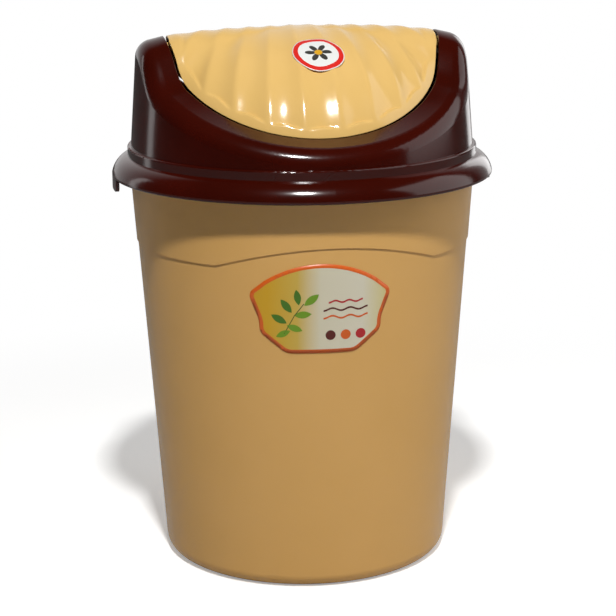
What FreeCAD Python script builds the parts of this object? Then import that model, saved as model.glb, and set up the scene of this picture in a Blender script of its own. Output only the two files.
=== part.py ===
import FreeCAD, Part
import math
import os
import re
import Sketcher
from FreeCAD import Placement, Rotation, Vector

# Swing-top trash can: a tapered round body, a lift-off lid with a domed mouth, and a crowned
# flap that swings on stub pivots. Millimetres, +Z up, front towards -Y, origin in the middle
# of the resting plane.

SIZES = (
    # Body
    ("body_height", 209.5),
    ("body_base_radius", 74.2),
    ("lip_overhang", 3.3),
    ("body_wall", 1.6),
    ("base_fillet", 7.0),
    ("foot_inner_radius", 62.0),
    ("foot_height", 2.2),
    ("floor_thickness", 1.8),
    ("collar_overhang", 6.2),
    ("lip_thickness", 2.0),
    ("lip_fillet", 0.7),
    ("ledge_drop", 41.0),
    ("ledge_step", 0.6),
    ("hump_rise", 10.2),
    ("hump_radius", 150.0),
    # Lid collar, band and dome wall
    ("lid_wall", 1.8),
    ("collar_radius", 98.2),
    ("collar_cover", 7.5),
    ("collar_straight", 1.5),
    ("collar_roll_radius", 11.5),
    ("collar_rise", 2.7),
    ("collar_fillet", 0.7),
    ("lip_side_clearance", 0.6),
    ("collar_inset", 8.2),
    ("band_rise", 7.5),
    ("band_fillet", 0.8),
    ("band_step", 1.8),
    ("dome_draft_angle", 4.4),
    ("skirt_drop", 10.5),
    ("skirt_clearance", 0.4),
    ("tongue_width", 23.5),
    ("tongue_drop", 6.0),
    ("tongue_fillet", 2.5),
    # Shoulder of the dome and edge of the flap
    ("ridge_over_front", 44.0),
    ("rim_slope_angle", 29.0),
    ("rim_hollow_radius", 30.0),
    ("ridge_over_pivot", 6.5),
    ("ridge_radius", 24.0),
    ("shoulder_fall_angle", 13.2),
    ("shoulder_proud", 0.4),
    ("shoulder_fillet", 9.0),
    ("mouth_gap", 1.2),
    ("mouth_fillet", 0.6),
    # Flap
    ("shoulder_width", 19.2),
    ("flap_side_trim", 2.0),
    ("crown_rise", 4.0),
    ("arch_easing", 4.0),
    ("flap_wall", 1.6),
    ("flap_edge_height", 1.0),
    # Pivots
    ("pivot_height", 266.5),
    ("pivot_radius", 2.25),
    ("pivot_clearance", 0.08),
    ("pivot_collar_radius", 3.4),
    ("pivot_end_clearance", 0.3),
    ("pivot_overhang", 0.6),
    ("ear_width", 13.0),
    ("ear_thickness", 1.8),
    ("ear_drop", 5.0),
    ("bearing_gap", 1.0),
    ("bearing_thickness", 3.0),
    ("bearing_width", 11.0),
    ("bearing_drop", 5.5),
    # Label and sticker
    ("label_width", 70.0),
    ("label_waist_width", 59.5),
    ("label_foot_width", 34.0),
    ("label_rise", 2.5),
    ("label_shoulder_drop", 15.0),
    ("label_waist_drop", 28.5),
    ("label_hip_drop", 34.5),
    ("label_bottom_drop", 45.0),
    ("label_fillet", 4.0),
    ("label_turn_angle", 3.5),
    ("sheet_thickness", 0.2),
    ("sheet_gap", 0.1),
    ("sticker_radius", 13.0),
    ("sticker_across", 2.5),
    ("sticker_forward", 37.0),
)

# The body's and collar's heights follow the body's rim, the mouth's and flap's follow the pivot
# line, and radii step in from the lid's collar.
PLACES = {
    "lip_radius": "collar_radius - collar_overhang",
    "body_rim_radius": "lip_radius - lip_overhang",
    "band_radius": "collar_radius - collar_inset",
    "dome_radius": "band_radius - band_step",
    "flap_radius": "dome_radius - shoulder_width",
    "flap_half_width": "flap_radius - flap_side_trim",
    "flap_arch_radius": "flap_radius + arch_easing",
    "ledge_height": "body_height - ledge_drop",
    "collar_edge_height": "body_height - collar_cover",
    "collar_top_height": "body_height + collar_rise",
    "band_top_height": "body_height + band_rise",
    "ridge_height": "pivot_height + ridge_over_pivot",
    "rim_front_height": "ridge_height - ridge_over_front",
    "flap_crown_height": "ridge_height + crown_rise",
    "label_top": "ledge_height + label_rise",
    "label_shoulder": "label_top - label_shoulder_drop",
    "label_waist": "label_top - label_waist_drop",
    "label_hip": "label_top - label_hip_drop",
    "label_bottom": "label_top - label_bottom_drop",
}

doc = FreeCAD.newDocument("swing_top_bin")
sheet = doc.addObject("Spreadsheet::Sheet", "Sizes")
for row, (alias, number) in enumerate(SIZES, 1):
    sheet.set("A%d" % row, alias)
    sheet.set("B%d" % row, str(number))
    sheet.setAlias("B%d" % row, alias)
doc.recompute()

SIZE_NAME = re.compile(r"\b[a-z]+(?:_[a-z]+)+\b")
known_values = {}
BODY_TAPER = "(body_rim_radius - body_base_radius) / body_height"


def formula(text):
    """Expression text in which each place is worked out and each size is read from the sheet."""
    def read(found):
        name = found.group(0)
        if name in PLACES:
            return "(" + formula(PLACES[name]) + ")"
        return "Sizes." + name
    return SIZE_NAME.sub(read, text)


def value(text):
    """Number that a formula of sizes comes to."""
    if text not in known_values:
        known_values[text] = float(sheet.evalExpression(formula(text)))
    return known_values[text]


def body_radius(height):
    """Formula for the outer radius of the body's wall at a height."""
    return "(body_base_radius + %s * (%s))" % (BODY_TAPER, height)


def bind(item, **formulas):
    """Bind properties of an object to formulas of sizes."""
    for name, text in formulas.items():
        item.setExpression(name, formula(text))


def add(kind, name, **formulas):
    """New document object with its sizes bound to the sheet."""
    item = doc.addObject(kind, name)
    bind(item, **formulas)
    return item


def outline(body, name, role, points, arcs):
    """Closed sketch traced counter-clockwise; arcs gives the radius of the edges that bulge."""
    plane = [item for item in body.Origin.OriginFeatures if item.Role == role][0]
    sketch = body.newObject("Sketcher::SketchObject", name)
    sketch.AttachmentSupport = [(plane, "")]
    sketch.MapMode = "FlatFace"
    spots = [Vector(value(across), value(up), 0) for across, up in points]
    for index, here in enumerate(spots):
        there = spots[(index + 1) % len(spots)]
        if index not in arcs:
            sketch.addGeometry(Part.LineSegment(here, there))
            continue
        radius = value(arcs[index])
        chord = there - here
        left = Vector(-chord.y, chord.x, 0).normalize()
        reach = math.sqrt(radius ** 2 - (chord.Length / 2) ** 2)
        centre = (here + there) * 0.5 + left * reach
        first = math.atan2(here.y - centre.y, here.x - centre.x)
        last = math.atan2(there.y - centre.y, there.x - centre.x)
        circle = Part.Circle(centre, Vector(0, 0, 1), radius)
        sketch.addGeometry(Part.ArcOfCircle(circle, first, last))
    for index in range(len(spots)):
        following = (index + 1) % len(spots)
        sketch.addConstraint(Sketcher.Constraint("Coincident", index, 2, following, 1))
    for index, point in enumerate(points):
        for kind, axis, text in (("DistanceX", -2, point[0]), ("DistanceY", -1, point[1])):
            if text == "0":
                sketch.addConstraint(Sketcher.Constraint("PointOnObject", index, 1, axis))
                continue
            rule = Sketcher.Constraint(kind, -1, 1, index, 1, value(text))
            number = sketch.addConstraint(rule)
            sketch.setExpression("Constraints[%d]" % number, formula(text))
    for index, text in arcs.items():
        number = sketch.addConstraint(Sketcher.Constraint("Radius", index, value(text)))
        sketch.setExpression("Constraints[%d]" % number, formula(text))
    return sketch


def turn(body, name, points, arcs):
    """Revolve a half section, given as radius and height, about the upright axis."""
    sketch = outline(body, name + "_section", "XZ_Plane", points, arcs)
    feature = body.newObject("PartDesign::Revolution", name)
    feature.Profile = sketch
    feature.ReferenceAxis = (sketch, ["V_Axis"])
    feature.Angle = 360.0
    doc.recompute()
    return feature


def edges_that(shape, test):
    """Numbers of the edges of a shape that pass a test of the edge and its middle point."""
    found = []
    for index, edge in enumerate(shape.Edges, 1):
        middle = edge.valueAt((edge.FirstParameter + edge.LastParameter) / 2)
        if test(edge, middle):
            found.append(index)
    return found


def round_edges(body, name, test, radius):
    """Fillet the edges of a body's last feature that pass a test."""
    base = body.Tip
    names = ["Edge%d" % index for index in edges_that(base.Shape, test)]
    feature = body.newObject("PartDesign::Fillet", name)
    feature.Base = (base, names)
    bind(feature, Radius=radius)
    doc.recompute()
    return feature


def ring_at(radius, height):
    """Test for a circular edge of a given radius and height about the upright axis."""
    def test(edge, middle):
        spread = math.hypot(middle.x, middle.y)
        level = edge.BoundBox.ZLength < 0.001
        return level and abs(spread - radius) < 0.01 and abs(middle.z - height) < 0.01
    return test


# Body: the proud upper band comes first, loses its front hump, and the wall fills in behind it.
bin_body = doc.addObject("PartDesign::Body", "bin_body")
UNDER_LIP = "body_height - lip_thickness"
turn(bin_body, "upper_band", (
    (body_radius("ledge_height") + " - body_wall / 2", "ledge_height"),
    (body_radius("ledge_height") + " + ledge_step", "ledge_height"),
    (body_radius(UNDER_LIP) + " + ledge_step", UNDER_LIP),
    (body_radius(UNDER_LIP) + " - body_wall / 2", UNDER_LIP),
), {})
HUMP_HALF = "sqrt(hump_radius ^ 2 - (hump_radius - hump_rise) ^ 2)"
hump_sketch = outline(bin_body, "hump_section", "XZ_Plane", (
    ("-" + HUMP_HALF, "ledge_height - ledge_step"),
    (HUMP_HALF, "ledge_height - ledge_step"),
    (HUMP_HALF, "ledge_height"),
    ("-" + HUMP_HALF, "ledge_height"),
), {2: "hump_radius"})
band_volume = bin_body.Shape.Volume
hump = bin_body.newObject("PartDesign::Pocket", "hump")
hump.Profile = hump_sketch
hump.Type = "ThroughAll"
hump.Reversed = True
doc.recompute()
turn(bin_body, "wall", (
    ("0", "foot_height"),
    ("foot_inner_radius - foot_height", "foot_height"),
    ("foot_inner_radius", "0"),
    ("body_base_radius", "0"),
    (body_radius(UNDER_LIP), UNDER_LIP),
    ("lip_radius", UNDER_LIP),
    ("lip_radius", "body_height"),
    ("body_rim_radius - body_wall", "body_height"),
    (body_radius("foot_height + floor_thickness") + " - body_wall",
     "foot_height + floor_thickness"),
    ("0", "foot_height + floor_thickness"),
), {})
round_edges(bin_body, "base_rounding", ring_at(value("body_base_radius"), 0), "base_fillet")
inner_corner = value(body_radius("foot_height + floor_thickness") + " - body_wall")
round_edges(
    bin_body, "floor_rounding",
    ring_at(inner_corner, value("foot_height + floor_thickness")), "base_fillet - body_wall",
)
round_edges(bin_body, "lip_top_rounding", ring_at(value("lip_radius"), value("body_height")), "lip_fillet")
round_edges(bin_body, "lip_under_rounding", ring_at(value("lip_radius"), value(UNDER_LIP)), "lip_fillet")


def rim_height(angle):
    """Height of the flap's edge at a plan angle from the front: slope, hollow and ridge."""
    away = abs(value("flap_radius") * math.cos(angle))
    return rim_curve(away)


def make_rim_curve():
    """Side view of the flap's edge: a straight slope run through a hollow into a round ridge."""
    slope = math.radians(value("rim_slope_angle"))
    hollow = value("rim_hollow_radius")
    ridge = value("ridge_radius")
    front = value("rim_front_height")
    plan = value("flap_radius")
    along = Vector(-math.cos(slope), math.sin(slope), 0)
    normal = Vector(math.sin(slope), math.cos(slope), 0)
    start = Vector(plan, front, 0)
    ridge_centre = Vector(0, value("ridge_height") - ridge, 0)
    below = -(ridge_centre - start).dot(normal)
    foot = (ridge_centre - start).dot(along)
    apart = math.sqrt((ridge + hollow) ** 2 - (hollow + below) ** 2)
    hollow_centre = start + along * (foot - apart) + normal * hollow
    slope_end = (start + along * (foot - apart)).x
    hollow_end = ridge_centre.x + (hollow_centre.x - ridge_centre.x) * ridge / (ridge + hollow)

    def curve(away):
        if away >= slope_end:
            return front + (plan - away) * math.tan(slope)
        if away >= hollow_end:
            return hollow_centre.y - math.sqrt(hollow ** 2 - (hollow_centre.x - away) ** 2)
        return ridge_centre.y + math.sqrt(ridge ** 2 - away ** 2)

    return curve


rim_curve = make_rim_curve()
RIM_POINTS = 48


def rim_loop(radius, lift):
    """Closed curve over a plan circle that keeps the rim's height, raised by a constant."""
    steps = [2 * math.pi * step / RIM_POINTS for step in range(RIM_POINTS + 1)]
    points = []
    for step in steps[:-1]:
        height = rim_height(step) + lift
        points.append(Vector(-radius * math.sin(step), radius * math.cos(step), height))
    curve = Part.BSplineCurve()
    curve.interpolate(Points=points, PeriodicFlag=True, Parameters=steps)
    return curve.toShape()


def shoulder_ring(inner, outer, lift, fall):
    """Ruled ring between two plan circles that follows the rim and falls outwards."""
    edge = value("flap_radius")
    low = rim_loop(inner, lift - (inner - edge) * fall)
    high = rim_loop(outer, lift - (outer - edge) * fall)
    return Part.makeRuledSurface(low, high)


# Lid: outside and inside forms are turned, cut along the shoulder and rounded alike.
BLANK_TOP = "(flap_crown_height + shoulder_fillet)"
DRAWN_IN = "(%s - band_top_height) * tan(dome_draft_angle * 1 deg)" % BLANK_TOP
SKIRT_BOTTOM = "(body_height - skirt_drop)"
SKIRT_RADIUS = body_radius(SKIRT_BOTTOM) + " - body_wall - skirt_clearance"
COLLAR_SHOULDER = "collar_edge_height + collar_straight"
lid_outside = doc.addObject("PartDesign::Body", "lid_outside")
turn(lid_outside, "lid_outside_form", (
    ("0", SKIRT_BOTTOM),
    (SKIRT_RADIUS, SKIRT_BOTTOM),
    (SKIRT_RADIUS, "collar_edge_height"),
    ("collar_radius", "collar_edge_height"),
    ("collar_radius", COLLAR_SHOULDER),
    ("band_radius", "collar_top_height"),
    ("band_radius", "band_top_height"),
    ("dome_radius", "band_top_height"),
    ("dome_radius - " + DRAWN_IN, BLANK_TOP),
    ("0", BLANK_TOP),
), {4: "collar_roll_radius"})
round_edges(
    lid_outside, "band_rounding",
    ring_at(value("band_radius"), value("band_top_height")), "band_fillet",
)
round_edges(
    lid_outside, "collar_rounding",
    ring_at(value("collar_radius"), value("collar_edge_height")), "collar_fillet",
)

lid_inside = doc.addObject("PartDesign::Body", "lid_inside")
turn(lid_inside, "lid_inside_form", (
    ("0", SKIRT_BOTTOM + " - lid_wall"),
    (SKIRT_RADIUS + " - lid_wall", SKIRT_BOTTOM + " - lid_wall"),
    (SKIRT_RADIUS + " - lid_wall", "body_height + lid_wall"),
    ("dome_radius - lid_wall", "body_height + lid_wall"),
    ("dome_radius - lid_wall", "band_top_height"),
    ("dome_radius - lid_wall - " + DRAWN_IN, BLANK_TOP),
    ("0", BLANK_TOP),
), {})

rim_groove = doc.addObject("PartDesign::Body", "rim_groove")
turn(rim_groove, "rim_groove_form", (
    (SKIRT_RADIUS, SKIRT_BOTTOM + " - tongue_drop"),
    ("collar_radius - lid_wall", SKIRT_BOTTOM + " - tongue_drop"),
    ("collar_radius - lid_wall", COLLAR_SHOULDER),
    ("lip_radius + lip_side_clearance", "body_height"),
    (SKIRT_RADIUS, "body_height"),
), {2: "collar_roll_radius - lid_wall"})


def boolean(kind, name, base, tool):
    """Cut or common of two objects."""
    item = doc.addObject(kind, name)
    item.Base = base
    item.Tool = tool
    doc.recompute()
    return item


def fuse(name, items):
    """One solid from several objects that meet."""
    item = doc.addObject("Part::MultiFuse", name)
    item.Shapes = items
    doc.recompute()
    return item


def rounded(name, base, test, radius):
    """Object with the edges that pass a test rounded."""
    item = doc.addObject("Part::Fillet", name)
    item.Base = base
    item.Edges = [(index, radius, radius) for index in edges_that(base.Shape, test)]
    doc.recompute()
    return item


def freeform(name, shape):
    """Document object that holds a shape made from curves and surfaces."""
    item = doc.addObject("Part::Feature", name)
    item.Shape = shape
    return item


def wall_corner(radius):
    """Test for the edge where the shoulder meets the drafted wall of a given radius."""
    draft = math.tan(math.radians(value("dome_draft_angle")))

    def test(edge, middle):
        wall = radius - (middle.z - value("band_top_height")) * draft
        near = abs(math.hypot(middle.x, middle.y) - wall) < 0.05
        return near and edge.Curve.TypeId == "Part::GeomBSplineCurve"
    return test


def shoulder_cutter(name, lift):
    """Solid above the shoulder of the lid, which is raised by a constant."""
    fall = math.tan(math.radians(value("shoulder_fall_angle")))
    inner = value("flap_radius - shoulder_fillet")
    outer = value("collar_radius + shoulder_fillet")
    ring = shoulder_ring(inner, outer, lift, fall)
    return freeform(name, ring.extrude(Vector(0, 0, value(BLANK_TOP))))


lid_blank = boolean(
    "Part::Cut", "lid_blank", lid_outside, shoulder_cutter("skin_cutter", value("shoulder_proud")),
)
core_blank = boolean(
    "Part::Cut", "core_blank", lid_inside,
    shoulder_cutter("core_cutter", value("shoulder_proud - lid_wall")),
)
mouth = add("Part::Cylinder", "mouth", Radius="flap_radius + mouth_gap", Height=BLANK_TOP)
lid_hollow = boolean("Part::Cut", "lid_hollow", lid_blank, core_blank)
lid_open = boolean("Part::Cut", "lid_open", lid_hollow, mouth)
lid_soft = rounded(
    "lid_soft", lid_open, wall_corner(value("dome_radius - lid_wall")), value("shoulder_fillet - lid_wall"),
)
lid_round = rounded("lid_round", lid_soft, wall_corner(value("dome_radius")), value("shoulder_fillet"))


def mouth_edge(edge, middle):
    """Test for the upper edge round the mouth."""
    spread = math.hypot(middle.x, middle.y)
    rim = rim_height(math.atan2(middle.x, -middle.y)) + value("shoulder_proud - lid_wall / 2")
    return abs(spread - value("flap_radius + mouth_gap")) < 0.02 and middle.z > rim


lid_lipped = rounded("lid_lipped", lid_round, mouth_edge, value("mouth_fillet"))
lid_grooved = boolean("Part::Cut", "lid_grooved", lid_lipped, rim_groove)

# The turned lid is the same in all four quarters, so one quarter is mirrored.
quarter_box = add(
    "Part::Box", "quarter_box",
    Length="collar_radius + lid_wall", Width="collar_radius + lid_wall", Height=BLANK_TOP,
)
bind(quarter_box, **{
    "Placement.Base.x": "-collar_radius - lid_wall",
    "Placement.Base.y": "-collar_radius - lid_wall",
})
quarter = boolean("Part::Common", "lid_quarter", lid_grooved, quarter_box)


def mirror(name, source, normal):
    """Copy of an object mirrored through the origin."""
    item = doc.addObject("Part::Mirroring", name)
    item.Source = source
    item.Normal = normal
    doc.recompute()
    return item


def four_quarters(shape):
    """Solid sewn from one quarter's outer faces and their mirror images."""
    skin = []
    for face in shape.Faces:
        middle = face.CenterOfMass
        if min(abs(middle.x), abs(middle.y)) > 0.001:
            skin.append(face)
    skin += [face.mirror(Vector(0, 0, 0), Vector(1, 0, 0)) for face in skin]
    skin += [face.mirror(Vector(0, 0, 0), Vector(0, 1, 0)) for face in skin]
    sewn = Part.makeCompound(skin)
    sewn.sewShape()
    solid = Part.makeSolid(sewn.Shells[0])
    if solid.Volume < 0:
        solid.reverse()
    return solid


lid_turned = freeform("lid_turned", four_quarters(quarter.Shape))

# Bearing brackets hang from the shoulder inside the cheeks; each takes one stub pivot.
BEARING_START = "flap_radius + mouth_gap + bearing_gap"
BEARING_BOTTOM = "(pivot_height - bearing_drop)"
bracket_box = add(
    "Part::Box", "bracket_box",
    Length="bearing_thickness", Width="bearing_width", Height="flap_crown_height - " + BEARING_BOTTOM,
)
bind(bracket_box, **{
    "Placement.Base.x": BEARING_START,
    "Placement.Base.y": "-bearing_width / 2",
    "Placement.Base.z": BEARING_BOTTOM,
})
bracket = boolean(
    "Part::Cut", "bracket", bracket_box,
    shoulder_cutter("bracket_cutter", value("shoulder_proud - lid_wall / 2")),
)
bracket_left = mirror("bracket_left", bracket, Vector(1, 0, 0))

# Grip tongues hang from the collar at both sides.
tongue_box = add(
    "Part::Box", "tongue_box",
    Length="2 * collar_radius + 2 * lid_wall", Width="tongue_width",
    Height="tongue_drop + collar_straight",
)
bind(tongue_box, **{
    "Placement.Base.x": "-collar_radius - lid_wall",
    "Placement.Base.y": "-tongue_width / 2",
    "Placement.Base.z": "collar_edge_height - tongue_drop",
})
doc.recompute()


def tongue_corner(edge, middle):
    """Test for the lower long edges of the tongue box."""
    low = abs(middle.z - value("collar_edge_height - tongue_drop")) < 0.001
    return low and edge.BoundBox.XLength > value("collar_radius")


tongue_plate = rounded("tongue_plate", tongue_box, tongue_corner, value("tongue_fillet"))
tongue_outside = add("Part::Cylinder", "tongue_outside", Radius="collar_radius", Height=BLANK_TOP)
tongue_inside = add("Part::Cylinder", "tongue_inside", Radius="collar_radius - lid_wall", Height=BLANK_TOP)
tongue_tube = boolean("Part::Cut", "tongue_tube", tongue_outside, tongue_inside)
tongues = boolean("Part::Common", "tongues", tongue_tube, tongue_plate)

pivot_bore = add(
    "Part::Cylinder", "pivot_bore",
    Radius="pivot_radius + pivot_clearance",
    Height="2 * (%s + bearing_thickness + bearing_gap)" % BEARING_START,
)
pivot_bore.Placement = Placement(Vector(0, 0, 0), Rotation(Vector(0, 1, 0), 90))
bind(pivot_bore, **{
    "Placement.Base.x": "-(%s + bearing_thickness + bearing_gap)" % BEARING_START,
    "Placement.Base.z": "pivot_height",
})
lid_whole = fuse("lid_whole", [lid_turned, bracket, bracket_left, tongues])
lid_dome = boolean("Part::Cut", "lid_dome", lid_whole, pivot_bore)


# Flap: a crowned shell whose edge follows the rim of the mouth.
def arch(share):
    """Fall of the flap from its crown to its edge, from 0 to 1, at a share of its plan radius."""
    radius = value("flap_arch_radius")
    plan = value("flap_radius")
    whole = radius - math.sqrt(radius ** 2 - plan ** 2)
    if share <= 1:
        return (radius - math.sqrt(radius ** 2 - (plan * share) ** 2)) / whole
    steepness = plan ** 2 / math.sqrt(radius ** 2 - plan ** 2) / whole
    return 1 + steepness * (share - 1)


def crown(across, forward):
    """Height of the flap's outer surface over a plan point."""
    spread = math.hypot(across, forward)
    edge = rim_height(math.atan2(across, forward))
    top = value("flap_crown_height")
    return top - (top - edge) * arch(spread / value("flap_radius"))


def steepness(across, forward):
    """Length along the flap's normal for one unit of height, as a factor of 1 or more."""
    reach = 0.01
    slope_across = (crown(across + reach, forward) - crown(across - reach, forward)) / (2 * reach)
    slope_forward = (crown(across, forward + reach) - crown(across, forward - reach)) / (2 * reach)
    return math.sqrt(1 + slope_across ** 2 + slope_forward ** 2)


GRID_STEPS = 16


def crown_surface(drop):
    """Surface of the flap on a square grid, a distance below the outside."""
    reach = value("flap_radius + mouth_gap")
    rows = []
    for column in range(GRID_STEPS + 1):
        across = reach * (2 * column / GRID_STEPS - 1)
        points = []
        for row in range(GRID_STEPS + 1):
            forward = reach * (2 * row / GRID_STEPS - 1)
            height = crown(across, forward) - drop * steepness(across, forward)
            points.append(Vector(across, -forward, height))
        rows.append(points)
    surface = Part.BSplineSurface()
    surface.interpolate(rows)
    return surface.toShape()


def solid_below(name, face):
    """Solid that hangs below a face."""
    return freeform(name, face.extrude(Vector(0, 0, -value("flap_crown_height"))))


flap_crown = solid_below("flap_crown", crown_surface(0))
flap_hollow = solid_below("flap_hollow", crown_surface(value("flap_wall")))
flap_disc = add("Part::Cylinder", "flap_disc", Radius="flap_radius", Height=BLANK_TOP)
flap_strip = add(
    "Part::Box", "flap_strip",
    Length="2 * flap_half_width", Width="2 * flap_radius + 2 * mouth_gap", Height=BLANK_TOP,
)
FLAP_BOTTOM = "(rim_front_height - flap_wall - flap_edge_height - mouth_gap)"
bind(flap_strip, **{
    "Placement.Base.x": "-flap_half_width",
    "Placement.Base.y": "-flap_radius - mouth_gap",
    "Placement.Base.z": FLAP_BOTTOM,
})
flap_plan = boolean("Part::Common", "flap_plan", flap_disc, flap_strip)
flap_block = boolean("Part::Common", "flap_block", flap_plan, flap_crown)
flap_thick = boolean("Part::Cut", "flap_thick", flap_block, flap_hollow)
edge_ring = shoulder_ring(
    value("flap_radius - shoulder_fillet"), value("flap_radius + shoulder_fillet"),
    -value("flap_edge_height"), 0,
)
edge_cutter = freeform("edge_cutter", edge_ring.extrude(Vector(0, 0, -value("flap_crown_height"))))
flap_shell = boolean("Part::Cut", "flap_shell", flap_thick, edge_cutter)
flap_quarter = boolean("Part::Common", "flap_quarter", flap_shell, quarter_box)
flap_cap = freeform("flap_cap", four_quarters(flap_quarter.Shape))

# Side ears hang from the flap and carry the stub pivots.
ear_box = add(
    "Part::Box", "ear_box",
    Length="ear_thickness", Width="ear_width", Height="flap_crown_height - pivot_height + ear_drop",
)
bind(ear_box, **{
    "Placement.Base.x": "flap_half_width - ear_thickness",
    "Placement.Base.y": "-ear_width / 2",
    "Placement.Base.z": "pivot_height - ear_drop",
})
flap_middle = solid_below("flap_middle", crown_surface(value("flap_wall / 2")))
ear = boolean("Part::Common", "ear", ear_box, flap_middle)


def stub(name, radius, far_end):
    """Round stub along X that starts inside the ear."""
    item = add(
        "Part::Cylinder", name,
        Radius=radius, Height="%s - flap_half_width + ear_thickness / 2" % far_end,
    )
    item.Placement = Placement(Vector(0, 0, 0), Rotation(Vector(0, 1, 0), 90))
    bind(item, **{
        "Placement.Base.x": "flap_half_width - ear_thickness / 2",
        "Placement.Base.z": "pivot_height",
    })
    return item


pivot_collar = stub("pivot_collar", "pivot_collar_radius", "(%s - pivot_end_clearance)" % BEARING_START)
pivot_stub = stub("pivot_stub", "pivot_radius", "(%s + bearing_thickness + pivot_overhang)" % BEARING_START)
pivot_side = fuse("pivot_side", [ear, pivot_collar, pivot_stub])
pivot_other_side = mirror("pivot_other_side", pivot_side, Vector(1, 0, 0))
swing_flap = fuse("swing_flap", [flap_cap, pivot_side, pivot_other_side])

# Label: a thin sheet just off the body's wall, trimmed to a die-cut outline.
label_body = doc.addObject("PartDesign::Body", "label_body")
LABEL_POINTS = (
    ("-label_foot_width / 2", "label_bottom"),
    ("label_foot_width / 2", "label_bottom"),
    ("label_waist_width / 2", "label_hip"),
    ("label_waist_width / 2", "label_waist"),
    ("label_width / 2", "label_shoulder"),
    ("-label_width / 2", "label_shoulder"),
    ("-label_waist_width / 2", "label_waist"),
    ("-label_waist_width / 2", "label_hip"),
)
LABEL_ARCH = "((label_width / 2) ^ 2 + (label_top - label_shoulder) ^ 2) / (2 * (label_top - label_shoulder))"
label_sketch = outline(label_body, "label_outline", "XZ_Plane", LABEL_POINTS, {4: LABEL_ARCH})
label_prism = label_body.newObject("PartDesign::Pad", "label_prism")
label_prism.Profile = label_sketch
bind(label_prism, Length="lip_radius")
doc.recompute()
round_edges(
    label_body, "label_rounding",
    lambda edge, middle: edge.BoundBox.YLength > value("sheet_thickness") and edge.BoundBox.XLength < 0.001,
    "label_fillet",
)
label_body.Placement = Placement(Vector(0, 0, 0), Rotation(Vector(0, 0, 1), -value("label_turn_angle")))


def wall_cone(name, offset):
    """Solid cone that lies a distance off the body's outer wall."""
    return add(
        "Part::Cone", name,
        Radius1="body_base_radius + " + offset, Radius2="body_rim_radius + " + offset, Height="body_height",
    )


label_sheet = boolean(
    "Part::Cut", "label_sheet",
    wall_cone("label_outer", "sheet_gap + sheet_thickness"), wall_cone("label_inner", "sheet_gap"),
)
front_label = boolean("Part::Common", "front_label", label_sheet, label_body)

# Sticker: a thin round sheet on the front of the flap's crown.
spot = Vector(value("sticker_across"), value("-sticker_forward"), 0)
spot.z = crown(spot.x, -spot.y)
reach = value("sticker_radius / 4")
tilt_across = Vector(2 * reach, 0, crown(spot.x + reach, -spot.y) - crown(spot.x - reach, -spot.y))
tilt_back = Vector(0, 2 * reach, crown(spot.x, -spot.y - reach) - crown(spot.x, -spot.y + reach))
facing = tilt_across.cross(tilt_back).normalize()
sheet_skin = crown_surface(-value("sheet_gap + sheet_thickness"))
sticker_skin = freeform("sticker_skin", sheet_skin.extrude(facing * -value("sheet_thickness")))
sticker_punch = add("Part::Cylinder", "sticker_punch", Radius="sticker_radius", Height="2 * sticker_radius")
punch_start = spot - facing * value("sticker_radius")
sticker_punch.Placement = Placement(punch_start, Rotation(Vector(0, 0, 1), facing))
flap_sticker = boolean("Part::Common", "flap_sticker", sticker_skin, sticker_punch)

PIECES = {
    "bin_body": bin_body,
    "lid_dome": lid_dome,
    "swing_flap": swing_flap,
    "front_label": front_label,
    "flap_sticker": flap_sticker,
}
doc.recompute()
failed = [item.Name for item in doc.Objects if {"Invalid", "Error"} & set(item.State)]
if failed:
    raise RuntimeError("failed objects: " + ", ".join(failed))
if hump.Shape.Volume >= band_volume:
    raise RuntimeError("the front hump is not cut")
for name, piece in PIECES.items():
    piece.Label = name
    if piece.Shape.isNull() or not piece.Shape.isValid() or len(piece.Shape.Solids) != 1:
        raise RuntimeError("bad shape: " + name)
os.makedirs("parts", exist_ok=True)
for name, piece in PIECES.items():
    piece.Shape.Solids[0].exportStep("parts/%s.step" % name)
    print(name, round(piece.Shape.Volume), piece.Shape.BoundBox)
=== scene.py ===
import math
import bmesh
import bpy
from mathutils import Matrix, Vector


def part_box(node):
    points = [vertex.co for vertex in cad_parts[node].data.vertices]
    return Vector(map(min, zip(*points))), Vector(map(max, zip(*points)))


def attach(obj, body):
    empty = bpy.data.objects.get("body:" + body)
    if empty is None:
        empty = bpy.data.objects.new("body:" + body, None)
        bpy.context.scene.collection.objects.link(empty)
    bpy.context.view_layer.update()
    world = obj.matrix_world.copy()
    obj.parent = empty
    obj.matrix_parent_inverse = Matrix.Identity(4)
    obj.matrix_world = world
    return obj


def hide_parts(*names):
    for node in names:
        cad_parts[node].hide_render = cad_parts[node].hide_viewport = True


bl_info = {
    "name": "Swing-top trash can dressing",
    "version": (1, 0, 0),
    "blender": (4, 5, 0),
    "location": "View3D > Sidebar > Swing bin",
    "description": "Fluted flap, printed label, finishes and studio for a small swing-top trash can",
    "category": "Object",
}

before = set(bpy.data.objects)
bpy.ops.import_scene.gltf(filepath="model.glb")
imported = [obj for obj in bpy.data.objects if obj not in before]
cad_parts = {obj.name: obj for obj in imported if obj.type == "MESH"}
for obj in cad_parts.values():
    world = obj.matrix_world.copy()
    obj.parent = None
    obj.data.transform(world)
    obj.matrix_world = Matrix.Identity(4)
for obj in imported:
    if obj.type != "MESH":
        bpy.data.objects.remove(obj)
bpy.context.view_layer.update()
MM = 0.001

# How close points are merged, or counted as lying on a cut
MERGE_DISTANCE = 0.01 * MM
LABEL_MERGE_DISTANCE = 0.15 * MM
SIDE_CUT_TOLERANCE = 0.001 * MM
STRIP_CUT_TOLERANCE = 0.0001 * MM

# Meshes of the flap and the sticker: rings crowd towards the flap's edge, where the flutes end
FLAP_RING_CUTS = 63
FLAP_SPOKES = 360
RING_CROWDING = 1.5
STICKER_RING_CUTS = 15
STICKER_SPOKES = 72

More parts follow.
